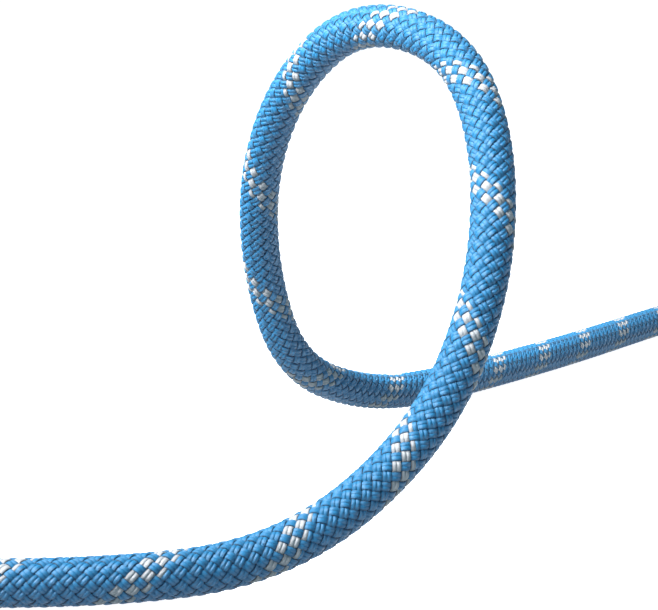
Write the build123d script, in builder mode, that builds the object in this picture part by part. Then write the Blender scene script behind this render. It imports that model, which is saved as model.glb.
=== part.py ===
"""Dynamic climbing rope: a kernmantle rope of 10 mm, standing up in one loose loop.

The open stretch is built as the real rope is: a braided sheath round twelve core
strands and an identification tape. The rest of the rope is a neat round coil, held
by three ties. Both ends are fused and carry a shrunk sleeve.

Frame: +Z up, the rope lies on z = 0, and the origin is under the middle of the box.
Units: millimetres.
"""

import os
from math import asin, cos, degrees, pi, radians, sin, sqrt, tan

from build123d import *

# ---- the rope's section ----
rope_length = 60_000.0
rope_diameter = 10.0
sheath_thickness = 1.05
core_clearance = 0.05
core_strand_gap = 0.03
tape_width = 1.8
tape_thickness = 0.2
tape_gap = 0.15

# ---- the ends ----
sleeve_wall = 0.5
sleeve_clearance = 0.05
sleeve_length = 20.0
tip_thickness = 1.6
tip_edge_radius = 0.7

# ---- the coil ----
coil_inner_radius = 50.0
coil_layers = 9
coil_turn_gap = 0.05
coil_layer_change = 0.13  # of a turn, in which the rope moves out to the next layer
coil_corner_radius = 4.0
lead_out_length = 60.0
lead_out_inset = 0.1
inner_end_run_length = 56.0
inner_end_sector = 120.0

# ---- the coil's ties ----
tie_angles = [55.0, 180.0, 315.0]
tie_width = 16.0
tie_thickness = 1.1
tie_clearance = 0.1

# ---- the open stretch, from the coil to the free end ----
route_points = [
    (-64, -193, 5),
    (0, -193, 5),
    (67, -198, 5),
    (106, -184, 7),
    (135, -169, 29),
    (148, -161, 59),
    (150, -144, 89),
    (142, -123, 110),
    (121, -100, 115),
    (105, -78, 100),
    (96, -60, 76),
    (96, -41, 47),
    (104, -24, 19),
    (125, 1, 7),
    (147, 30, 5),
    (172, 65, 5),
    (196, 102, 5),
    (218, 139, 5),
    (238.5, 170, 5.6),
    (261, 197.5, 5.6),
]
corner_share = 0.45  # how much of the shorter run each arc takes up

# ---- worked out from the sizes above ----
rope_radius = rope_diameter / 2
sheath_bore_radius = rope_radius - sheath_thickness
sleeve_bore_radius = rope_radius + sleeve_clearance
sleeve_radius = sleeve_bore_radius + sleeve_wall


def corner_radius(before, corner, after):
    """The arc at a corner of the route, as large as its two runs allow."""
    come = Vector(*corner) - Vector(*before)
    go = Vector(*after) - Vector(*corner)
    turn = radians(come.get_angle(go))
    return corner_share * min(come.length, go.length) / tan(turn / 2)


route_radii = [
    corner_radius(*route_points[i - 1 : i + 2]) for i in range(1, len(route_points) - 1)
]
with BuildLine() as route:
    FilletPolyline(*route_points, radius=route_radii)
route_wire = route.wires()[0]
route_length = route_wire.length
route_start = Plane(
    origin=route_points[0],
    z_dir=Vector(*route_points[1]) - Vector(*route_points[0]),
)

# The coil is wound from its inner end, which lies on top: down the innermost layer, up
# the next, and so on, with its last turn at the bottom outside. Its height follows from
# the length that it has to hold.
coil_turn_pitch = rope_diameter + coil_turn_gap
layer_radii = [
    coil_inner_radius + rope_radius + layer * coil_turn_pitch for layer in range(coil_layers)
]
coil_outer_radius = layer_radii[-1] + rope_radius
coil_centre_x = route_points[0][0] - lead_out_length
coil_centre_y = route_points[0][1] + layer_radii[-1]
coil_axis = Axis((coil_centre_x, coil_centre_y, 0), (0, 0, 1))
turns_per_layer = (rope_length - route_length - lead_out_length) / (2 * pi * sum(layer_radii))
coil_height = rope_diameter + coil_turn_pitch * (turns_per_layer - coil_layer_change)

inner_end_angle = -90 - 360 * turns_per_layer * coil_layers
inner_end_height = coil_height - sleeve_radius
inner_end_radius = layer_radii[0] - (sleeve_radius - rope_radius) - tie_clearance
step_height = inner_end_height - sleeve_radius - tie_clearance
step_radius = coil_inner_radius + coil_turn_pitch
run_sweep = degrees(inner_end_run_length / inner_end_radius)
sleeve_sweep = degrees(sleeve_length / inner_end_radius)
tip_sweep = degrees(tip_thickness / inner_end_radius)

print("route length", round(route_length, 2), "radii", [round(r, 1) for r in route_radii])
print("turns in a layer", round(turns_per_layer, 3), "coil height", round(coil_height, 2))


def radial_plane(angle):
    """An upright plane through the coil's axis: X points outwards, Y points up."""
    a = radians(angle)
    return Plane(
        origin=(coil_centre_x, coil_centre_y, 0),
        x_dir=(cos(a), sin(a), 0),
        z_dir=(sin(a), -cos(a), 0),
    )


# ======== the open stretch ========

with BuildPart() as sheath_run:
    with BuildSketch(route_start):
        Circle(rope_radius)
        Circle(sheath_bore_radius, mode=Mode.SUBTRACT)
    sweep(path=route_wire)
sheath_run.part.label = "sheath_run"

# Twelve strands in the closest round pack: three rings about the middle of a triangle.
strand_spacing = (sheath_bore_radius - core_clearance + core_strand_gap / 2) / (
    sqrt(7 / 3) + 1 / 2
)
core_strand_radius = (strand_spacing - core_strand_gap) / 2
triangle = strand_spacing / sqrt(3)
outer_ring = strand_spacing * sqrt(7 / 3)
outer_twist = degrees(asin(sqrt(3 / 28)))
strand_places = [(triangle, 90 + 120 * k) for k in range(3)]
strand_places += [(2 * triangle, 30 + 120 * k) for k in range(3)]
for k in range(3):
    strand_places += [
        (outer_ring, 90 + 120 * k - outer_twist),
        (outer_ring, 90 + 120 * k + outer_twist),
    ]

core_strands = []
for distance, angle in strand_places:
    with BuildPart() as core_strand:
        with BuildSketch(route_start):
            with PolarLocations(distance, 1, start_angle=angle):
                Circle(core_strand_radius)
        sweep(path=route_wire)
    core_strand.part.label = f"core_strand_{len(core_strands) + 1:02d}"
    core_strands.append(core_strand)

tape_distance = 2 * triangle + core_strand_radius + tape_gap + tape_thickness / 2
with BuildPart() as identity_tape:
    with BuildSketch(route_start):
        with PolarLocations(tape_distance, 1, start_angle=30):
            Rectangle(tape_thickness, tape_width)
    sweep(path=route_wire)
identity_tape.part.label = "identity_tape"


# ======== the free end ========

end_point = Vector(*route_points[-1])
end_direction = (end_point - Vector(*route_points[-2])).normalized()
sleeve_start = Plane(origin=end_point - end_direction * sleeve_length, z_dir=end_direction)
tip_start = Plane(origin=end_point, z_dir=end_direction)

with BuildPart() as free_end_sleeve:
    with BuildSketch(sleeve_start):
        Circle(sleeve_radius)
        Circle(sleeve_bore_radius, mode=Mode.SUBTRACT)
    extrude(amount=sleeve_length)
free_end_sleeve.part.label = "free_end_sleeve"

with BuildPart() as free_end_tip:
    with BuildSketch(tip_start):
        Circle(rope_radius)
    extrude(amount=tip_thickness)
    outer_face = free_end_tip.faces().sort_by(Axis(end_point, end_direction))[-1]
    fillet(outer_face.edges(), tip_edge_radius)
free_end_tip.part.label = "free_end_tip"


# ======== the coil ========


def tie_outline(inset, outset):
    """A tie's closed band: its inside moved in by inset and its outside out by outset."""
    inside = min(
        sqrt(coil_inner_radius**2 - (tie_width / 2) ** 2),
        sqrt((inner_end_radius - sleeve_radius) ** 2 - (tie_width / 2) ** 2),
    )
    inside -= tie_clearance
    outside = coil_outer_radius + tie_clearance
    low = tie_thickness
    high = coil_height + tie_clearance
    middle = ((inside + outside) / 2, (low + high) / 2)
    width = outside - inside
    height = high - low
    grow = 2 * (tie_thickness + outset)
    with Locations(middle):
        RectangleRounded(
            width + grow,
            height + grow,
            coil_corner_radius + tie_thickness + outset,
        )
        RectangleRounded(
            width - 2 * inset,
            height - 2 * inset,
            coil_corner_radius - inset,
            mode=Mode.SUBTRACT,
        )


coil_section_middle = (coil_inner_radius + coil_outer_radius) / 2
with BuildPart() as rope_coil:
    with BuildSketch(Plane.XZ.offset(-coil_centre_y)) as coil_section:
        with Locations((coil_centre_x + coil_section_middle, coil_height / 2)):
            RectangleRounded(
                coil_outer_radius - coil_inner_radius, coil_height, coil_corner_radius
            )
        with Locations((coil_centre_x + coil_inner_radius, coil_height)):
            Rectangle(
                2 * coil_turn_pitch, 2 * (coil_height - step_height), mode=Mode.SUBTRACT
            )
    revolve(axis=coil_axis)
    # the top turn of the innermost layer, which ends on the step
    with BuildSketch(radial_plane(inner_end_angle + tip_sweep + run_sweep)):
        with Locations((inner_end_radius, inner_end_height)):
            Circle(rope_radius)
        with Locations((step_radius, step_height)):
            Rectangle(
                2 * (step_radius - inner_end_radius),
                2 * (inner_end_height - step_height),
                align=(Align.MAX, Align.CENTER),
            )
    revolve(axis=coil_axis, revolution_arc=inner_end_sector)
    # the last turn, which leaves the coil at the bottom
    with BuildSketch(
        Plane(
            origin=(coil_centre_x, route_points[0][1] + lead_out_inset, rope_radius),
            z_dir=(1, 0, 0),
        )
    ):
        Circle(rope_radius - lead_out_inset)
    extrude(amount=lead_out_length)
    # the ties press into it underneath
    for tie_angle in tie_angles:
        with BuildSketch(radial_plane(tie_angle)):
            tie_outline(tie_clearance, 2 * tie_thickness)
        extrude(amount=tie_width / 2 + tie_clearance, both=True, mode=Mode.SUBTRACT)
rope_coil.part.label = "rope_coil"

coil_ties = []
for tie_angle in tie_angles:
    with BuildPart() as coil_tie:
        with BuildSketch(radial_plane(tie_angle)):
            tie_outline(0, 0)
        extrude(amount=tie_width / 2, both=True)
    coil_tie.part.label = f"coil_tie_{len(coil_ties) + 1}"
    coil_ties.append(coil_tie)


# ======== the inner end, on top of the innermost layer ========


sleeve_plane = radial_plane(inner_end_angle + tip_sweep)
inner_end_place = (inner_end_radius, inner_end_height)

with BuildPart() as inner_end_run:
    with BuildSketch(sleeve_plane):
        with Locations(inner_end_place):
            Circle(rope_radius)
    revolve(axis=coil_axis, revolution_arc=run_sweep)
inner_end_run.part.label = "inner_end_run"

with BuildPart() as inner_end_sleeve:
    with BuildSketch(sleeve_plane):
        with Locations(inner_end_place):
            Circle(sleeve_radius)
            Circle(sleeve_bore_radius, mode=Mode.SUBTRACT)
    revolve(axis=coil_axis, revolution_arc=sleeve_sweep)
inner_end_sleeve.part.label = "inner_end_sleeve"

with BuildPart() as inner_end_tip:
    with BuildSketch(radial_plane(inner_end_angle)):
        with Locations(inner_end_place):
            Circle(rope_radius)
    revolve(axis=coil_axis, revolution_arc=tip_sweep)
inner_end_tip.part.label = "inner_end_tip"


# ======== the files ========

section_area = pi * (rope_radius**2 - sheath_bore_radius**2)
print("sheath volume", round(sheath_run.part.volume), "wanted", round(section_area * route_length))

pieces = [sheath_run, *core_strands, identity_tape, free_end_sleeve, free_end_tip]
pieces += [rope_coil, *coil_ties, inner_end_run, inner_end_sleeve, inner_end_tip]

os.makedirs("parts", exist_ok=True)
for piece in pieces:
    export_step(piece.part, f"parts/{piece.part.label}.step")
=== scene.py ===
"""Dynamic climbing rope: the looks of a 10 mm kernmantle rope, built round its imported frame.

The rope is one cord of 60 m. Its line is one NURBS spline: nine layers of coil turns, then
the open stretch that stands up in a loose loop. Along the open stretch the sheath is real
braided yarn round twelve twisted core strands and an identification tape. In the coil the
sheath is a skin whose finish follows the same braid.

Units: metres and degrees. Frame: +Z up, the rope lies on z = 0.
"""

from math import asin, cos, degrees, pi, radians, sin, sqrt

import bpy
import numpy as np
from bpy.props import FloatProperty, FloatVectorProperty, IntProperty, PointerProperty
from mathutils import Matrix, Vector


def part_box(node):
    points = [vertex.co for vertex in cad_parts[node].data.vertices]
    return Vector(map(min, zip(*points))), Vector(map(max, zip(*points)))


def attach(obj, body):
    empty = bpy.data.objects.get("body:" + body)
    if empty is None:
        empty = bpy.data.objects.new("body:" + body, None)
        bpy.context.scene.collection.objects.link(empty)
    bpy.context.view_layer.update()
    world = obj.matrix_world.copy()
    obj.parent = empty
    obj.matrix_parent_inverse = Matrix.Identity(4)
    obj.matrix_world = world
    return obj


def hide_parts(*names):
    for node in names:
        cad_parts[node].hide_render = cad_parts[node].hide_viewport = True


bl_info = {
    "name": "Dynamic climbing rope",
    "version": (1, 0, 0),
    "blender": (4, 5, 0),
    "location": "View3D > Sidebar > Rope",
    "description": "Builds a coiled kernmantle rope round its packed frame",
    "category": "Add Mesh",
}

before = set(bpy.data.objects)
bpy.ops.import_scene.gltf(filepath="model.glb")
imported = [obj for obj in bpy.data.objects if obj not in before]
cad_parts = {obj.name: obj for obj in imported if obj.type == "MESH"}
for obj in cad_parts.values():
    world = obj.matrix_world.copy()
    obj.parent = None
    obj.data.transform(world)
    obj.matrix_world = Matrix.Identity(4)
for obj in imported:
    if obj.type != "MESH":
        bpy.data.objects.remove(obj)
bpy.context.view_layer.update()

MM = 0.001
BODY = "root"

# ---- the open stretch, from the coil to the free end ----
ROUTE = [
    (-0.064, -0.193, 0.005),
    (0.000, -0.193, 0.005),
    (0.067, -0.198, 0.005),
    (0.106, -0.184, 0.007),
    (0.135, -0.169, 0.029),
    (0.148, -0.161, 0.059),
    (0.150, -0.144, 0.089),
    (0.142, -0.123, 0.110),
    (0.121, -0.100, 0.115),
    (0.105, -0.078, 0.100),
    (0.096, -0.060, 0.076),
    (0.096, -0.041, 0.047),
    (0.104, -0.024, 0.019),
    (0.125, 0.001, 0.007),
    (0.147, 0.030, 0.005),
    (0.172, 0.065, 0.005),
    (0.196, 0.102, 0.005),
    (0.218, 0.139, 0.005),
    (0.2385, 0.170, 0.0056),
    (0.261, 0.1975, 0.0056),
]

# ---- the coil ----
TURN_GAP = 0.05 * MM
LAYER_CHANGE = 0.13  # of a turn, in which the rope moves out to the next layer
POINT_SPACING = 0.030  # between the spline's points along a turn
END_LEVEL = 0.16  # of a turn that the inner end lies level, in its sleeve and beyond
END_EASE = 0.60  # of a turn in which the inner end comes back to its layer's radius
END_INSET = 0.65 * MM
COIL_DETAIL = 3  # points of the line for each of the spline's
OPEN_DETAIL = 64
LEAD_POINTS = 12  # the coil's last ones, which the open stretch's line starts from

# ---- the braid ----
RIBBONS = 10  # each way round, of two yarns each
YARN_OFFSET = 0.25  # of a ribbon's place, from its middle to the middle of each yarn
TRACER_RIBBONS = (0, 1)
HALF_TRACER = 2  # the ribbon whose near yarn alone is a tracer
BRAID_START = 0.036  # before the route's first point
BRAID_STEP = 0.394 * MM
YARN_MIDDLE = 4.27 * MM
YARN_WAVE = 0.43 * MM
YARN_CREST = 0.7  # of the wave, where 1 is a sine and less is flatter with a steeper dive
YARN_EDGE = 0.46 * MM  # from a yarn's middle to the rounded edge of its ribbon
YARN_SEAM = 0.55 * MM  # from a yarn's middle to where it meets the ribbon's other yarn
YARN_HALF_THICKNESS = 0.31 * MM
# A yarn is half a flat ribbon: its section as shares of the edge, the seam and the thickness.
YARN_SECTION = (
    (1, -0.1),
    (0.88, 0.45),
    (0.55, 0.8),
    (0, 0.97),
    (-1, 1),
    (-1, -1),
    (0.2, -1),
    (0.8, -0.7),
)
# How long the braid's lay is at distances along the braid: it opens up on the loop's
# outside and packs together where the rope comes down.
LAY_PLACES = [
    (0.00, 31.5 * MM),
    (0.19, 30.9 * MM),
    (0.28, 29.3 * MM),
    (0.36, 31.2 * MM),
    (0.45, 36.9 * MM),
    (0.55, 27.3 * MM),
    (0.65, 27.9 * MM),
    (0.70, 32.4 * MM),
]
LAY_SAMPLES = 4000
BRAID_PHASE = 0.235  # of a turn, at the braid's start

# ---- the rope's skin ----
SKIN_SIDES = 14
SKIN_STEP = 2 * MM
UNDER_YARN_RADIUS = 4.10 * MM
BORE_RADIUS = 3.95 * MM
BORE_CLEARANCE = 0.05 * MM

# ---- inside the sheath ----
CORE_GAP = 0.03 * MM
CORE_SIDES = 12
CORE_STEP = 1.5 * MM
CORE_TWIST = 12 * MM
CORE_PLIES = 3
PLY_MIDDLE = 0.88  # of a strand's radius
PLY_RELIEF = 0.11
TAPE_WIDTH = 1.8 * MM
TAPE_THICKNESS = 0.2 * MM
TAPE_GAP = 0.15 * MM

# ---- the ends ----
SLEEVE_LENGTH = 20 * MM
SLEEVE_WALL = 0.5 * MM
SLEEVE_CLEARANCE = 0.05 * MM
SLEEVE_RINGS = 60
SLEEVE_RIB = 3.15 * MM
SLEEVE_RELIEF = 0.07 * MM
END_SIDES = 60
TIP_THICKNESS = 1.6 * MM
TIP_UNEVEN = 0.012
# The fused tip from the rope to its face, as shares of its thickness and of the rope's radius.
TIP_PROFILE = (
    (0, 1),
    (0.2, 1.012),
    (0.45, 1.005),
    (0.7, 0.97),
    (0.88, 0.9),
    (0.97, 0.8),
    (1, 0.6),
    (0.96, 0.35),
    (0.94, 0.05),
)

# ---- the ties ----
TIE_ANGLES = (55.0, 180.0, 315.0)
TIE_WIDTH = 16 * MM
TIE_THICKNESS = 1.1 * MM
TIE_CORNER = 4 * MM
TIE_SELVAGE = 0.3 * MM
TIE_STEPS = 6
TIE_CORNER_STEPS = 6
TAB_LENGTH = 42 * MM
TAB_MIDDLE = 0.52  # of the tie's height
TAB_STITCHES = 7
STITCH_SPREAD = 0.85  # of the tab's width
STITCH_ROWS = (0.42, 0.33)  # of the tab's length, from its middle
STITCH_SIZE = (0.5 * MM, 1.5 * MM, 0.7 * MM)

# ---- the studio ----
FLOOR_SIZE = 60
AMBIENT_TINT = (0.40, 0.78, 1.0, 1.0)  # a cool sky
SUBJECT = (0.14, -0.08, 0.05)  # where the key and the rim light point
KEY_PLACE = (-0.85, -0.30, 1.30)
KEY_SIZE = 0.5
RIM_PLACE = (1.2, 1.4, 1.0)
RIM_SIZE = 1.2
FAR_LIMB = (0.093, -0.055, 0.068)  # where the accent light points
ACCENT_PLACE = (-0.60, -0.80, 0.85)
ACCENT_CONE = radians(9)
ACCENT_SOFTNESS = 0.12
CAMERA_PLACE = (0.114, -0.653, 0.1266)
SENSOR_WIDTH = 36


# ======== what a user would change ========


def colour(name, description, value):
    """A colour property."""
    return FloatVectorProperty(
        name=name, description=description, subtype="COLOR", min=0, max=1, default=value
    )


class RopeSizes(bpy.types.PropertyGroup):
    """The rope's own sizes."""

    length: FloatProperty(
        name="Length", description="Of the whole rope", default=60.0, unit="LENGTH"
    )
    diameter: FloatProperty(
        name="Diameter", description="Over the sheath", default=10 * MM, unit="LENGTH"
    )
    coil_inner_radius: FloatProperty(
        name="Coil's inner radius", description="Inside the turns", default=50 * MM, unit="LENGTH"
    )
    coil_layers: IntProperty(
        name="Coil's layers", description="Of turns, from inside to outside", default=9
    )


class RopeColours(bpy.types.PropertyGroup):
    """The colours of the rope's materials."""

    sheath: colour("Sheath", "The sheath's dyed yarn", (0.008, 0.180, 0.390))
    tracer: colour("Tracer", "The undyed tracer yarns", (0.44, 0.455, 0.48))
    core: colour("Core", "The undyed core strands", (0.78, 0.77, 0.72))
    tape: colour("Tape", "The identification tape", (0.62, 0.38, 0.02))
    sleeve: colour("Sleeve", "The shrunk sleeves", (0.012, 0.012, 0.014))
    webbing: colour("Webbing", "The coil's ties", (0.018, 0.018, 0.020))
    floor: colour("Floor", "The studio floor", (0.60, 0.60, 0.60))


class RopeStudio(bpy.types.PropertyGroup):
    """The camera and the lights."""

    lens: FloatProperty(
        name="Lens", description="Focal length in millimetres", default=128.85
    )
    pitch: FloatProperty(
        name="Pitch",
        description="How far the camera looks down",
        default=radians(8.165),
        subtype="ANGLE",
    )
    key: FloatProperty(
        name="Key light", description="Power of the soft main light", default=55.0, unit="POWER"
    )
    rim: FloatProperty(
        name="Rim light", description="Power of the light from behind", default=5.0, unit="POWER"
    )
    accent: FloatProperty(
        name="Accent light",
        description="Power of the soft spot on the loop's far limb",
        default=330.0,
        unit="POWER",
    )
    ambient: FloatProperty(
        name="Ambient", description="Strength of the light from all round", default=0.28
    )


# ======== the rope's line ========


def smooth(share):
    """0 to 1 with level ends."""
    t = min(max(share, 0.0), 1.0)
    return t * t * (3 - 2 * t)


class Coil:
    """Where the coil's turns lie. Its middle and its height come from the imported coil."""

    def __init__(self, sizes):
        low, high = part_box("rope_coil")
        radius = sizes.diameter / 2
        self.pitch = sizes.diameter + TURN_GAP
        self.layers = sizes.coil_layers
        self.first_radius = sizes.coil_inner_radius + radius
        outer = (high.y - low.y) / 2
        self.middle = (low.x + outer, low.y + outer)
        self.bottom = radius
        self.top = high.z - radius
        self.turns = (high.z - sizes.diameter) / self.pitch + LAYER_CHANGE
        self.end_drop = SLEEVE_CLEARANCE + SLEEVE_WALL
        self.start = -90 - 360 * self.turns * self.layers

    def radius(self, layer, turn):
        """The distance of a turn from the coil's axis."""
        out = smooth((turn - self.turns + LAYER_CHANGE) / LAYER_CHANGE)
        if layer == self.layers - 1:
            out = 0
        inset = END_INSET * (1 - smooth((turn - END_LEVEL) / (END_EASE - END_LEVEL)))
        return self.first_radius + self.pitch * (layer + out) - (inset if layer == 0 else 0)

    def rise(self, layer, turn):
        """The height of a turn: the even layers go down and the odd ones up."""
        share = min(turn / (self.turns - LAYER_CHANGE), 1)
        if layer % 2:
            return self.bottom + (self.top - self.bottom) * share
        if layer:
            return self.top + (self.bottom - self.top) * share
        # the turn under the inner end's sleeve lies lower by the sleeve's wall
        end = self.top - self.end_drop
        second = end - self.pitch - self.end_drop
        if turn < 1:
            return end - (end - second) * max(0, (turn - END_LEVEL) / (1 - END_LEVEL))
        left = min((turn - 1) / (self.turns - LAYER_CHANGE - 1), 1)
        return second + (self.bottom - second) * left

    def place(self, angle, radius, height):
        """A point at an angle round the coil's axis."""
        a = radians(angle)
        return (
            self.middle[0] + radius * cos(a),
            self.middle[1] + radius * sin(a),
            height,
        )

    def points(self):
        """The spline's points from the inner end on top to where the last turn leaves."""
        first_angle = self.start + degrees(TIP_THICKNESS / self.first_radius)
        found = [self.place(first_angle, self.radius(0, 0), self.rise(0, 0))]
        for layer in range(self.layers):
            circle = 2 * pi * (self.first_radius + layer * self.pitch)
            count = round(circle * self.turns / POINT_SPACING)
            step = self.turns / count
            spread = 1 / cos(pi * step)
            for k in range(count):
                turn = (k + 0.5) * step
                angle = self.start + 360 * (layer * self.turns + turn)
                if angle > first_angle:
                    found.append(
                        self.place(angle, self.radius(layer, turn) * spread, self.rise(layer, turn))
                    )
        return found


def spline_points(points, resolution):
    """The points of a smooth NURBS line through the given control points."""
    curve = bpy.data.curves.new("rope_line", "CURVE")
    curve.dimensions = "3D"
    spline = curve.splines.new("NURBS")
    spline.points.add(len(points) - 1)
    for point, place in zip(spline.points, points, strict=True):
        point.co = (*place, 1)
    spline.order_u = 3
    spline.use_endpoint_u = True
    spline.resolution_u = resolution
    holder = bpy.data.objects.new("rope_line", curve)
    mesh = bpy.data.meshes.new_from_object(holder)
    line = np.array([v.co for v in mesh.vertices], float)
    bpy.data.objects.remove(holder)
    bpy.data.curves.remove(curve)
    bpy.data.meshes.remove(mesh)
    return line


def distances(points):
    """How far along the line each point is."""
    steps = np.linalg.norm(np.diff(points, axis=0), axis=1)
    return np.concatenate([[0], np.cumsum(steps)])


def unit(vectors):
    """Vectors of length one."""
    return vectors / np.linalg.norm(vectors, axis=-1, keepdims=True)


class Line:
    """Points along the rope, each with a tangent and two directions that don't twist."""

    def __init__(self, points, first_normal):
        self.points = points
        self.along = distances(points)
        self.tangent = unit(np.gradient(points, axis=0))
        normal = np.array(first_normal, float)
        normals = []
        for direction in self.tangent:
            normal = normal - direction * (normal @ direction)
            normal = normal / np.linalg.norm(normal)
            normals.append(normal)
        self.normal = np.array(normals)
        self.side = np.cross(self.tangent, self.normal)

    def backwards(self):
        """The same line from its other end, with the same directions."""
        turned = Line.__new__(Line)
        turned.points = self.points[::-1]
        turned.along = distances(turned.points)
        turned.tangent = -self.tangent[::-1]
        turned.normal = self.normal[::-1]
        turned.side = np.cross(turned.tangent, turned.normal)
        return turned

    def at(self, where):
        """The line again, at other distances along it."""
        made = Line.__new__(Line)
        for name in ("points", "tangent", "normal"):
            values = getattr(self, name)
            columns = [np.interp(where, self.along, values[:, k]) for k in range(3)]
            setattr(made, name, np.stack(columns, axis=1))
        made.along = np.asarray(where, float)
        made.tangent = unit(made.tangent)
        made.normal = unit(made.normal)
        made.side = np.cross(made.tangent, made.normal)
        return made

    def ring(self, angle):
        """The direction outwards at an angle round the line, for each point."""
        return np.cos(angle)[..., None] * self.normal + np.sin(angle)[..., None] * self.side


def rope_lines(sizes):
    """The coil's line up to where the braid's own yarns start, and the rest to the free end."""
    coil_points = Coil(sizes).points()
    braid_from = ROUTE[0][0] - BRAID_START

    open_line = spline_points(coil_points[-LEAD_POINTS:] + ROUTE, OPEN_DETAIL)
    ahead = np.flatnonzero(open_line[:, 0] > braid_from)
    on_floor = open_line[:, 1] < ROUTE[0][1] + sizes.diameter
    first = next(i for i in ahead if on_floor[i:].any() and on_floor[i])
    open_stretch = Line(open_line[first:], (0, 0, 1))

    wound = spline_points(coil_points + ROUTE[:1], COIL_DETAIL)
    start = open_stretch.points[0]
    wound = wound[: len(wound) - 1 - int(np.argmax(wound[::-1, 0] < start[0] - MM))]
    wound = np.vstack([wound, start])
    return Line(wound[::-1], (0, 0, 1)).backwards(), open_stretch


def braid_turns(along):
    """How many lays of the braid come before each distance along the braid."""
    places, lays = zip(*LAY_PLACES)
    fine = np.linspace(min(0, along.min()), along.max(), LAY_SAMPLES)
    per_metre = 1 / np.interp(fine, places, lays)
    turns = np.concatenate([[0], np.cumsum((per_metre[1:] + per_metre[:-1]) / 2 * np.diff(fine))])
    return np.interp(along, fine, turns) - np.interp(0, fine, turns) + BRAID_PHASE


# ======== meshes ========


def skin(name, rings, along, material, hollow=False):
    """One piece of closed tubes: rings[tube, place, side] are its points, along is V.

    A hollow one's last ring joins its first, and any other has a face at each end.
    """
    tubes, places, sides, _ = rings.shape
    grid = np.arange(tubes * places * sides).reshape(tubes, places, sides)
    if hollow:
        near, far = grid, np.roll(grid, -1, 1)
        along = np.append(along, along[0])
        places += 1
    else:
        near, far = grid[:, :-1], grid[:, 1:]
    quads = np.stack([near, np.roll(near, -1, 2), np.roll(far, -1, 2), far], axis=-1)
    caps = np.concatenate([grid[:, 0, ::-1], grid[:, -1]])[: 0 if hollow else None]

    u = np.arange(sides) / sides
    u = np.stack([u, u + 1 / sides, u + 1 / sides, u], axis=-1)
    v = np.stack([along[:-1], along[:-1], along[1:], along[1:]], axis=-1)
    quad_uv = np.empty((tubes, places - 1, sides, 4, 2), np.float32)
    quad_uv[..., 0] = u
    quad_uv[..., 1] = v[:, None]
    cap_uv = np.empty((len(caps), sides, 2), np.float32)
    cap_uv[..., 0] = u[:, 0]
    cap_uv[:tubes, :, 1] = along[0]
    cap_uv[tubes:, :, 1] = along[-1]

    mesh = bpy.data.meshes.new(name)
    mesh.vertices.add(rings.size // 3)
    mesh.vertices.foreach_set("co", rings.astype(np.float32).ravel())
    mesh.loops.add(quads.size + caps.size)
    corners = np.concatenate([quads.ravel(), caps.ravel()]).astype(np.int32)
    mesh.loops.foreach_set("vertex_index", corners)
    faces = quads.size // 4
    starts = np.concatenate(
        [np.arange(faces) * 4, quads.size + np.arange(len(caps)) * sides]
    ).astype(np.int32)
    mesh.polygons.add(len(starts))
    mesh.polygons.foreach_set("loop_start", starts)
    mesh.polygons.foreach_set("use_smooth", np.arange(len(starts)) < faces)
    layer = mesh.uv_layers.new(name="UVMap")
    layer.uv.foreach_set("vector", np.concatenate([quad_uv.ravel(), cap_uv.ravel()]))
    mesh.update(calc_edges=True)
    mesh.materials.append(material)
    return place_piece(bpy.data.objects.new(name, mesh))


def place_piece(piece):
    """Puts a finished piece in the scene, on the rope's body."""
    if piece.name not in bpy.context.scene.collection.all_objects:
        bpy.context.scene.collection.objects.link(piece)
    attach(piece, BODY)
    return piece


# ======== materials ========


class Value:
    """A node's output, on which arithmetic adds Math nodes."""

    def __init__(self, shader, socket):
        self.shader = shader
        self.socket = socket

    def maths(self, operation, *values):
        inputs = dict(enumerate(values))
        return self.shader.node("ShaderNodeMath", {"operation": operation}, inputs)

    def __add__(self, other):
        return self.maths("ADD", self, other)

    def __sub__(self, other):
        return self.maths("SUBTRACT", self, other)

    def __rsub__(self, other):
        return self.maths("SUBTRACT", other, self)

    def __mul__(self, other):
        return self.maths("MULTIPLY", self, other)

    def __truediv__(self, other):
        return self.maths("DIVIDE", self, other)

    def __gt__(self, other):
        return self.maths("GREATER_THAN", self, other)

    def __lt__(self, other):
        return self.maths("LESS_THAN", self, other)

    def __mod__(self, other):
        return self.maths("FLOORED_MODULO", self, other)

    __radd__ = __add__
    __rmul__ = __mul__

    def cosine(self):
        return self.maths("COSINE", self)

    def root(self):
        return self.maths("SQRT", self)

    def larger(self, other):
        return self.maths("MAXIMUM", self, other)


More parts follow.
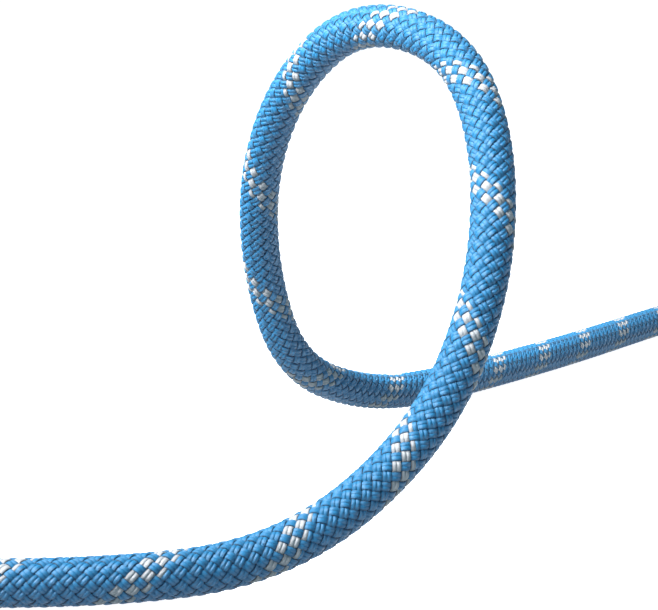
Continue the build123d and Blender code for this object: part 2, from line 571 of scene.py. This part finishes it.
class Shader:
    """One material, whose nodes are added by arithmetic or by their type."""

    def __init__(self, name, **constants):
        self.material = bpy.data.materials.new(name)
        self.material.use_nodes = True
        self.tree = self.material.node_tree
        self.surface = self.tree.nodes["Principled BSDF"]
        for socket, value in constants.items():
            self.surface.inputs[socket.replace("_", " ")].default_value = value

    def node(self, kind, settings=None, inputs=None, output=0):
        """Adds a node: its settings first, then the values or links of its sockets."""
        made = self.tree.nodes.new(kind)
        for name, value in (settings or {}).items():
            setattr(made, name, value)
        for name, value in (inputs or {}).items():
            self.feed(made.inputs[name], value)
        return Value(self, made.outputs[output])

    def feed(self, socket, value):
        if isinstance(value, Value):
            self.tree.links.new(value.socket, socket)
        else:
            socket.default_value = value

    def set(self, socket, value):
        """Links a varying value to the surface."""
        self.feed(self.surface.inputs[socket], value)

    def mix(self, factor, first, second):
        """Between two colours."""
        return self.node(
            "ShaderNodeMix",
            {"data_type": "RGBA"},
            {"Factor": factor, "A": first, "B": second},
            "Result",
        )

    def bump(self, height, distance, strength=1.0):
        """Relief of a height from 0 to 1, that many metres deep."""
        return self.node(
            "ShaderNodeBump", None, {"Height": height, "Distance": distance, "Strength": strength}
        )

    def noise(self, coordinates, scale, detail=2.0):
        return self.node(
            "ShaderNodeTexNoise",
            None,
            {"Vector": coordinates, "Scale": scale, "Detail": detail},
        )

    def uv(self):
        """U and V of the piece's own map."""
        place = self.node("ShaderNodeUVMap", {"uv_map": "UVMap"})
        parts = self.node("ShaderNodeSeparateXYZ", None, {"Vector": place})
        node = parts.socket.node
        return Value(self, node.outputs["X"]), Value(self, node.outputs["Y"])

    def place(self):
        """The point itself, in metres."""
        return self.node("ShaderNodeTexCoord", output="Object")


def rgba(value):
    return (*value, 1.0)


def shade(value, factor):
    """The same colour, lighter or darker."""
    return (*(min(1.0, part * factor) for part in value), 1.0)


def yarn_material(name, base, deep, light):
    """Twisted filament yarn: fine plies along the yarn, small changes of dye, and painted shade
    where U nears its ends, at the edges of the braid's ribbons.
    """
    shader = Shader(name, Specular_IOR_Level=0.7, Sheen_Weight=0.04)
    u, v = shader.uv()
    plies = ((u * 20 + v * 500) * (2 * pi)).cosine() * 0.5 + 0.5
    patches = shader.noise(shader.place(), 260.0)
    fine = shader.noise(shader.place(), 3000.0)
    tone = patches * 0.6 + fine * 0.4
    dyed = shader.mix(tone, shade(base, deep), shade(base, light))
    # painted shade: the colour darkens to a fifth of the yarn's own where U nears 0 and 1, which on
    # the braid's yarns are the ribbons' edges in the gaps between ribbons
    painted_gap_shade_fade = (1 - (u * (2 * pi)).cosine()) * 1.05  # 0 in the gap between two ribbons
    shader.set("Base Color", shader.mix(painted_gap_shade_fade, shade(base, 0.2), dyed))
    shader.set("Roughness", tone * 0.15 + 0.45)
    shader.set("Normal", shader.bump(plies, 0.05 * MM, 0.6))
    return shader.material


def skin_material(colours):
    """The same braid as relief and colour, with painted shade in its hollows, from U round the rope
    and V in lays along it.
    """
    shader = Shader("sheath_skin", Specular_IOR_Level=0.7)
    u, v = shader.uv()
    right = (u + v) * RIBBONS
    left = (u - v) * RIBBONS
    right_yarn = (right * 2 % 1) - 0.5
    left_yarn = (left * 2 % 1) - 0.5
    right_side = ((right % 1) < 0.5) * (2 * YARN_OFFSET) - YARN_OFFSET
    left_side = ((left % 1) < 0.5) * (2 * YARN_OFFSET) - YARN_OFFSET
    wave = v * (2 * RIBBONS)
    right_wave = ((wave - right_side) * pi).cosine()
    left_wave = ((wave + left_side) * pi).cosine() * -1
    right_round = (1 - right_yarn * right_yarn * 3.2).larger(0).root()
    left_round = (1 - left_yarn * left_yarn * 3.2).larger(0).root()
    right_height = right_wave * 0.9 + right_round
    left_height = left_wave * 0.9 + left_round
    on_top = right_height > left_height
    height = right_height.larger(left_height)
    place = right * 2 % (2 * RIBBONS)
    band = (place < 2 * HALF_TRACER) + (place > 2 * RIBBONS - 1)  # the five tracer yarns
    white = on_top * band
    # painted shade: the colour darkens to a quarter of the sheath's in the low places of the
    # braid's relief, where the yarns dive under each other
    painted_hollow_shade_fade = ((height - 0.5) / 1.4).larger(0)
    patches = shader.noise(shader.place(), 260.0)
    blue = shader.mix(patches, shade(colours.sheath, 0.8), shade(colours.sheath, 1.2))
    dyed = shader.mix(white, blue, rgba(colours.tracer))
    shader.set("Base Color", shader.mix(painted_hollow_shade_fade, shade(colours.sheath, 0.25), dyed))
    shader.set("Roughness", patches * 0.2 + 0.42)
    shader.set("Normal", shader.bump(height * 0.5, 0.7 * MM, 0.9))
    return shader.material


def plain_material(name, base, roughness, grain, depth, **constants):
    """Moulded or melted plastic with a faint uneven grain."""
    shader = Shader(name, **constants)
    mottle = shader.noise(shader.place(), grain)
    shader.set("Base Color", shader.mix(mottle, shade(base, 0.8), shade(base, 1.25)))
    shader.set("Roughness", mottle * 0.15 + roughness)
    shader.set("Normal", shader.bump(mottle, depth, 0.5))
    return shader.material


def webbing_material(colours):
    """Flat woven webbing: ribs across it from V, and warp ends from U."""
    shader = Shader("tie_webbing", Specular_IOR_Level=0.3)
    u, v = shader.uv()
    warp = (u * (2 * pi * 900)).cosine()
    weft = (v * (2 * pi * 700)).cosine()
    weave = warp * weft * 0.5 + 0.5
    fuzz = shader.noise(shader.place(), 900.0)
    # the colour is lighter where the weave's relief rises and darker where it sinks, with a random
    # fuzz
    weave_and_fuzz = weave * 0.7 + fuzz * 0.3
    dyed = shader.mix(weave_and_fuzz, shade(colours.webbing, 0.6), shade(colours.webbing, 2.2))
    shader.set("Base Color", dyed)
    shader.set("Roughness", fuzz * 0.2 + 0.6)
    shader.set("Normal", shader.bump(weave, 0.25 * MM, 0.8))
    return shader.material


# ======== the operators ========


class ROPE_OT_braid(bpy.types.Operator):
    """Braid the sheath's forty yarns round the open stretch"""

    bl_idname = "rope.braid"
    bl_label = "Braid"

    def execute(self, context):
        colours = context.scene.rope_colours
        open_stretch = rope_lines(context.scene.rope_sizes)[1]
        count = round(open_stretch.along[-1] / BRAID_STEP)
        line = open_stretch.at(np.linspace(0, open_stretch.along[-1], count + 1))
        dyed = yarn_material("sheath_yarn", colours.sheath, 0.78, 1.22)
        undyed = yarn_material("tracer_yarn", colours.tracer, 0.88, 1.1)

        places = [
            (ribbon, side) for ribbon in range(RIBBONS) for side in (-YARN_OFFSET, YARN_OFFSET)
        ]
        tracers = [p for p in places if p[0] in TRACER_RIBBONS]
        tracers.append((HALF_TRACER, -YARN_OFFSET))
        right_handed = [p for p in places if p not in tracers]
        groups = [("tracer_yarns", 1, tracers, undyed)]
        for k in range(3):
            groups.append((f"right_yarns_{k + 1}", 1, right_handed[5 * k : 5 * k + 5], dyed))
        for k in range(4):
            groups.append((f"left_yarns_{k + 1}", -1, places[5 * k : 5 * k + 5], dyed))
        for name, hand, yarns, material in groups:
            rings = np.stack([yarn_rings(line, hand, *place) for place in yarns])
            skin(name, rings, line.along, material)
        return {"FINISHED"}


def yarn_rings(line, hand, ribbon, side):
    """The rings of one yarn: hand is 1 for the tracers' way round and -1 for the other."""
    turns = braid_turns(line.along)
    angle = 2 * pi * ((ribbon + side) / RIBBONS - hand * turns)
    wave = np.cos(pi * (2 * RIBBONS * turns - hand * side)) * hand
    wave = np.sign(wave) * np.abs(wave) ** YARN_CREST
    outward = line.ring(angle)
    middle = line.points + (YARN_MIDDLE + YARN_WAVE * wave)[:, None] * outward
    forward = unit(np.gradient(middle, axis=0))
    across = unit(np.cross(outward, forward))
    up = np.cross(forward, across)
    section = np.array(YARN_SECTION)
    section[:, 0] *= np.where(section[:, 0] > 0, YARN_EDGE, YARN_SEAM)
    section[:, 1] *= YARN_HALF_THICKNESS
    if side > 0:  # the other half of the ribbon
        section = np.roll(section[::-1], 1, axis=0) * (-1, 1)
    return (
        middle[:, None]
        + section[None, :, :1] * across[:, None]
        + section[None, :, 1:] * up[:, None]
    )


class ROPE_OT_core(bpy.types.Operator):
    """Lay the twelve twisted core strands and the identification tape in the sheath"""

    bl_idname = "rope.core"
    bl_label = "Core"

    def execute(self, context):
        colours = context.scene.rope_colours
        open_stretch = rope_lines(context.scene.rope_sizes)[1]
        along = np.arange(BRAID_START, open_stretch.along[-1], CORE_STEP)
        line = open_stretch.at(along)
        spacing = (BORE_RADIUS - BORE_CLEARANCE + CORE_GAP / 2) / (sqrt(7 / 3) + 1 / 2)
        radius = (spacing - CORE_GAP) / 2
        triangle = spacing / sqrt(3)
        ring = spacing * sqrt(7 / 3)
        twist = degrees(asin(sqrt(3 / 28)))
        places = [(triangle, 90 + 120 * k) for k in range(3)]
        places += [(2 * triangle, 30 + 120 * k) for k in range(3)]
        for k in range(3):
            places += [(ring, 90 + 120 * k - twist), (ring, 90 + 120 * k + twist)]

        material = yarn_material("core_yarn", colours.core, 0.85, 1.1)
        turn = np.linspace(0, 2 * pi, CORE_SIDES, endpoint=False)
        for number, (distance, angle) in enumerate(places, 1):
            outward = line.ring(np.full(len(along), radians(angle)))
            across = np.cross(line.tangent, outward)
            middle = line.points + distance * outward
            hand = 1 if number % 2 else -1
            plies = np.cos(CORE_PLIES * (turn[None] - hand * 2 * pi * along[:, None] / CORE_TWIST))
            size = radius * (PLY_MIDDLE + PLY_RELIEF * plies)
            rings = (
                middle[:, None]
                + (size * np.cos(turn))[..., None] * outward[:, None]
                + (size * np.sin(turn))[..., None] * across[:, None]
            )
            strand = skin(f"core_ply_{number:02d}", rings[None], along, material)
            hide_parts(f"core_strand_{number:02d}")

        place = 2 * triangle + radius + TAPE_GAP + TAPE_THICKNESS / 2
        outward = line.ring(np.full(len(along), radians(30)))
        across = np.cross(line.tangent, outward)
        edge = np.array([(1, -1), (1, 1), (-1, 1), (-1, -1)]) * (TAPE_THICKNESS, TAPE_WIDTH) / 2
        rings = (
            line.points[:, None]
            + (place + edge[:, 0])[None, :, None] * outward[:, None]
            + edge[:, 1][None, :, None] * across[:, None]
        )
        tape_finish = plain_material("identity_tape", colours.tape, 0.35, 600.0, 0.02 * MM)
        tape = skin("marker_tape", rings[None], along, tape_finish)
        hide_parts("identity_tape")
        return {"FINISHED"}


class ROPE_OT_ends(bpy.types.Operator):
    """Shrink a sleeve round each end and fuse its tip"""

    bl_idname = "rope.ends"
    bl_label = "Ends"

    def execute(self, context):
        colours = context.scene.rope_colours
        sizes = context.scene.rope_sizes
        wound, open_stretch = rope_lines(sizes)
        black = plain_material(
            "shrunk_sleeve", colours.sleeve, 0.42, 500.0, 0.05 * MM, Specular_IOR_Level=0.4
        )
        melted = plain_material(
            "fused_nylon", colours.sheath, 0.18, 700.0, 0.15 * MM, Specular_IOR_Level=0.6
        )
        for name, line in (("free", open_stretch.backwards()), ("inner", wound)):
            sleeve = skin(
                f"{name}_sleeve",
                sleeve_rings(line, sizes.diameter / 2)[None],
                np.zeros(2 * SLEEVE_RINGS),
                black,
                hollow=True,
            )
            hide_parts(f"{name}_end_sleeve")
            rings = tip_rings(line, sizes.diameter / 2)
            tip = skin(f"{name}_tip", rings[None], np.zeros(len(rings)), melted)
            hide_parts(f"{name}_end_tip")
        return {"FINISHED"}


def sleeve_rings(line, rope_radius):
    """A shrunk film over the first stretch of a line: its outside, then back along its bore."""
    line = line.at(np.linspace(0, SLEEVE_LENGTH, SLEEVE_RINGS))
    angle = np.linspace(0, 2 * pi, END_SIDES, endpoint=False)
    outward = line.ring(angle[:, None] + np.zeros(SLEEVE_RINGS)).transpose(1, 0, 2)
    bore = rope_radius + SLEEVE_CLEARANCE
    edge = np.minimum(line.along, SLEEVE_LENGTH - line.along) / SLEEVE_WALL
    lip = np.sqrt(np.clip(1 - (1 - np.clip(edge, 0, 1)) ** 2, 0.05, 1))
    # the film has drawn in round the braid's ribs
    share = line.along[:, None] / SLEEVE_RIB
    rib = np.cos(RIBBONS * angle + 2 * pi * share) * np.cos(RIBBONS * angle - 2 * pi * share)
    outside = bore + SLEEVE_WALL * lip[:, None] + SLEEVE_RELIEF * (rib - 1) * lip[:, None]
    return np.concatenate(
        [
            line.points[:, None] + outside[..., None] * outward,
            (line.points[:, None] + bore * outward)[::-1],
        ]
    )


def tip_rings(line, rope_radius):
    """The fused end before a line's first point: a melted, slightly uneven cap."""
    angle = np.linspace(0, 2 * pi, END_SIDES, endpoint=False)
    outward = np.cos(angle)[:, None] * line.normal[0] + np.sin(angle)[:, None] * line.side[0]
    rings = []
    for rise, share in TIP_PROFILE:
        uneven = 1 + TIP_UNEVEN * share * (np.sin(3 * angle + 1) + np.sin(7 * angle) / 2)
        wave = TIP_UNEVEN * rope_radius * (1 - share) * np.sin(2 * angle)
        height = TIP_THICKNESS * rise + wave
        middle = line.points[0] - height[:, None] * line.tangent[0]
        rings.append(middle + (rope_radius * share * uneven)[:, None] * outward)
    return np.array(rings)[::-1]


class ROPE_OT_rope(bpy.types.Operator):
    bl_idname = "rope.rope"
    bl_label = "Rope"

    def execute(self, context):
        sizes = context.scene.rope_sizes
        wound, open_stretch = rope_lines(sizes)
        count = round(open_stretch.along[-1] / SKIN_STEP)
        opened = open_stretch.at(np.linspace(0, open_stretch.along[-1], count + 1)[1:])
        bored = opened.at(opened.along[opened.along >= BRAID_START][::-1])
        lines = (wound, opened, bored)
        points, normal, side = (
            np.vstack([getattr(line, name) for line in lines])
            for name in ("points", "normal", "side")
        )
        radius = np.concatenate(
            [
                np.full(len(wound.points), sizes.diameter / 2),
                np.full(len(opened.points), UNDER_YARN_RADIUS),
                np.full(len(bored.points), BORE_RADIUS),
            ]
        )
        turns = np.concatenate(
            [braid_turns(line.along - (wound.along[-1] if line is wound else 0)) for line in lines]
        )
        angle = np.linspace(0, 2 * pi, SKIN_SIDES, endpoint=False)
        outward = np.cos(angle)[None, :, None] * normal[:, None]
        outward = outward + np.sin(angle)[None, :, None] * side[:, None]
        rings = points[:, None] + radius[:, None, None] * outward
        finish = skin_material(context.scene.rope_colours)
        rope = skin("rope", rings[None], turns, finish)
        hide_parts("rope_coil", "sheath_run", "inner_end_run")
        on_rope = ["tracer_yarns"]
        on_rope += [f"right_yarns_{k + 1}" for k in range(3)]
        on_rope += [f"left_yarns_{k + 1}" for k in range(4)]
        on_rope += ["free_sleeve", "free_tip", "inner_sleeve", "inner_tip"]
        return {"FINISHED"}


class ROPE_OT_ties(bpy.types.Operator):
    """Tie the coil with three bands of webbing"""

    bl_idname = "rope.ties"
    bl_label = "Ties"

    def execute(self, context):
        coil = Coil(context.scene.rope_sizes)
        finish = webbing_material(context.scene.rope_colours)
        band = webbing_band(coil)
        for number, angle in enumerate(TIE_ANGLES, 1):
            tie = band.copy()
            tie.data = band.data.copy()
            tie.name = f"webbing_tie_{number}"
            turn = Matrix.Rotation(radians(angle), 4, "Z")
            tie.data.transform(Matrix.Translation((*coil.middle, 0)) @ turn)
            tie.data.materials.append(finish)
            place_piece(tie)
            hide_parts(f"coil_tie_{number}")
        bpy.data.objects.remove(band)
        return {"FINISHED"}


def webbing_band(coil):
    """One tie round the coil's section, at angle 0 and with the coil's axis at the origin."""
    low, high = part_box("coil_tie_2")  # the tie that lies along X
    near, far = coil.middle[0] - high.x, coil.middle[0] - low.x
    top = high.z
    corner = TIE_CORNER + TIE_THICKNESS

    # the selvage's section, at the bottom of the band's inner side
    bpy.ops.mesh.primitive_plane_add(size=1, location=(near + TIE_THICKNESS / 2, 0, corner))
    bpy.ops.object.mode_set(mode="EDIT")
    bpy.ops.transform.resize(value=(TIE_THICKNESS, TIE_WIDTH, 1))
    bpy.ops.mesh.bevel(offset=TIE_SELVAGE, segments=2, affect="VERTICES")
    # up the inside, out over the top, down the outside and back underneath
    spans = (
        ((0, 0, top - 2 * corner), (near + corner, 0, top - corner)),
        ((far - near - 2 * corner, 0, 0), (far - corner, 0, top - corner)),
        ((0, 0, 2 * corner - top), (far - corner, 0, corner)),
        ((near - far + 2 * corner, 0, 0), (near + corner, 0, corner)),
    )
    for run, centre in spans:
        for _ in range(TIE_STEPS):
            step = tuple(part / TIE_STEPS for part in run)
            bpy.ops.mesh.extrude_region_move(TRANSFORM_OT_translate={"value": step})
        bpy.ops.mesh.spin(steps=TIE_CORNER_STEPS, angle=-pi / 2, center=centre, axis=(0, 1, 0))
    bpy.ops.mesh.select_all(action="DESELECT")
    bpy.ops.mesh.select_face_by_sides(number=4, type="NOTEQUAL")
    bpy.ops.mesh.delete(type="ONLY_FACE")
    bpy.ops.mesh.select_all(action="SELECT")
    bpy.ops.mesh.remove_doubles(threshold=0.01 * MM)
    bpy.ops.mesh.normals_make_consistent(inside=False)

    # the closing tab, pressed on the outside
    bpy.ops.mesh.select_all(action="DESELECT")
    tab_middle = top * TAB_MIDDLE
    bpy.ops.mesh.primitive_cube_add(size=1, location=(far + TIE_THICKNESS / 2, 0, tab_middle))
    bpy.ops.transform.resize(value=(TIE_THICKNESS, TIE_WIDTH, TAB_LENGTH))
    bpy.ops.mesh.bevel(offset=TIE_SELVAGE, segments=2, affect="EDGES")
    # its stitches, in two rows across the sewn end
    for row in STITCH_ROWS:
        for k in range(TAB_STITCHES):
            place = (
                far + TIE_THICKNESS,
                TIE_WIDTH * ((k + 0.5) / TAB_STITCHES - 0.5) * STITCH_SPREAD,
                tab_middle + TAB_LENGTH * row,
            )
            bpy.ops.mesh.primitive_cube_add(size=1, location=place)
            bpy.ops.transform.resize(value=STITCH_SIZE)
            bpy.ops.mesh.bevel(offset=min(STITCH_SIZE) / 3, segments=2, affect="EDGES")
    bpy.ops.object.mode_set(mode="OBJECT")
    band = bpy.context.object
    bpy.ops.object.transform_apply(location=True, rotation=True, scale=True)
    bpy.ops.object.shade_smooth_by_angle(angle=radians(40))
    bpy.ops.object.select_all(action="DESELECT")

    layer = band.data.uv_layers[0]
    layer.name = "UVMap"
    for loop, uv in zip(band.data.loops, layer.uv, strict=True):
        x, y, z = band.data.vertices[loop.vertex_index].co
        uv.vector = (y, x + z)
    return band


class ROPE_OT_studio(bpy.types.Operator):
    """Set up the floor, the lights and the camera"""

    bl_idname = "rope.studio"
    bl_label = "Studio"

    def execute(self, context):
        scene = context.scene
        studio = scene.rope_studio
        bpy.ops.mesh.primitive_plane_add(size=FLOOR_SIZE, location=(0, 0, 0))
        floor = context.object
        floor.name = "floor"
        ground = Shader("floor", Roughness=0.9, Specular_IOR_Level=0.1, Emission_Strength=1.0)
        ground.set("Base Color", rgba(scene.rope_colours.floor))
        ground.set("Emission Color", (1, 1, 1, 1))
        floor.data.materials.append(ground.material)
        floor.visible_diffuse = False  # it looks white without lighting the rope

        world = bpy.data.worlds.new("studio")
        world.use_nodes = True
        scene.world = world
        backdrop = world.node_tree.nodes["Background"]
        backdrop.inputs["Color"].default_value = AMBIENT_TINT
        backdrop.inputs["Strength"].default_value = studio.ambient

        key = add_lamp("key", "AREA", KEY_PLACE, SUBJECT, studio.key)
        key.size = KEY_SIZE
        rim = add_lamp("rim", "AREA", RIM_PLACE, SUBJECT, studio.rim)
        rim.size = RIM_SIZE
        accent = add_lamp("accent", "SPOT", ACCENT_PLACE, FAR_LIMB, studio.accent)
        accent.spot_size = ACCENT_CONE
        accent.spot_blend = 1
        accent.shadow_soft_size = ACCENT_SOFTNESS

        bpy.ops.object.camera_add(location=CAMERA_PLACE, rotation=(pi / 2 - studio.pitch, 0, 0))
        camera = context.object
        camera.data.lens = studio.lens
        camera.data.sensor_width = SENSOR_WIDTH
        camera.data.clip_start = 0.01
        camera.data.clip_end = 200
        scene.camera = camera
        scene.view_settings.view_transform = "Standard"
        return {"FINISHED"}


def add_lamp(name, kind, place, target, power):
    """A light's settings, once it stands at its place and points at its target."""
    bpy.ops.object.light_add(type=kind, location=place)
    lamp = bpy.context.object
    lamp.name = name
    lamp.data.energy = power
    aim = Vector(target) - Vector(place)
    lamp.rotation_euler = aim.to_track_quat("-Z", "Y").to_euler()
    return lamp.data


STEPS = (ROPE_OT_braid, ROPE_OT_core, ROPE_OT_ends, ROPE_OT_rope, ROPE_OT_ties, ROPE_OT_studio)


class ROPE_PT_panel(bpy.types.Panel):
    """The rope's sizes, colours and steps"""

    bl_idname = "ROPE_PT_panel"
    bl_label = "Climbing rope"
    bl_space_type = "VIEW_3D"
    bl_region_type = "UI"
    bl_category = "Rope"

    def draw(self, context):
        for name in ("rope_sizes", "rope_colours", "rope_studio"):
            group = getattr(context.scene, name)
            box = self.layout.box()
            for key in group.bl_rna.properties.keys():
                if key not in ("rna_type", "name"):
                    box.prop(group, key)
        for step in STEPS:
            self.layout.operator(step.bl_idname)


GROUPS = {"rope_sizes": RopeSizes, "rope_colours": RopeColours, "rope_studio": RopeStudio}


def register():
    for made in (*GROUPS.values(), *STEPS, ROPE_PT_panel):
        bpy.utils.register_class(made)
    for name, group in GROUPS.items():
        setattr(bpy.types.Scene, name, PointerProperty(type=group))


def unregister():
    for name in GROUPS:
        delattr(bpy.types.Scene, name)
    for made in (ROPE_PT_panel, *reversed(STEPS), *reversed(GROUPS.values())):
        bpy.utils.unregister_class(made)


def main():
    register()
    bpy.ops.object.select_all(action="DESELECT")
    bpy.ops.rope.braid()
    bpy.ops.rope.core()
    bpy.ops.rope.ends()
    bpy.ops.rope.rope()
    bpy.ops.rope.ties()
    bpy.ops.rope.studio()


if __name__ == "__main__":
    main()
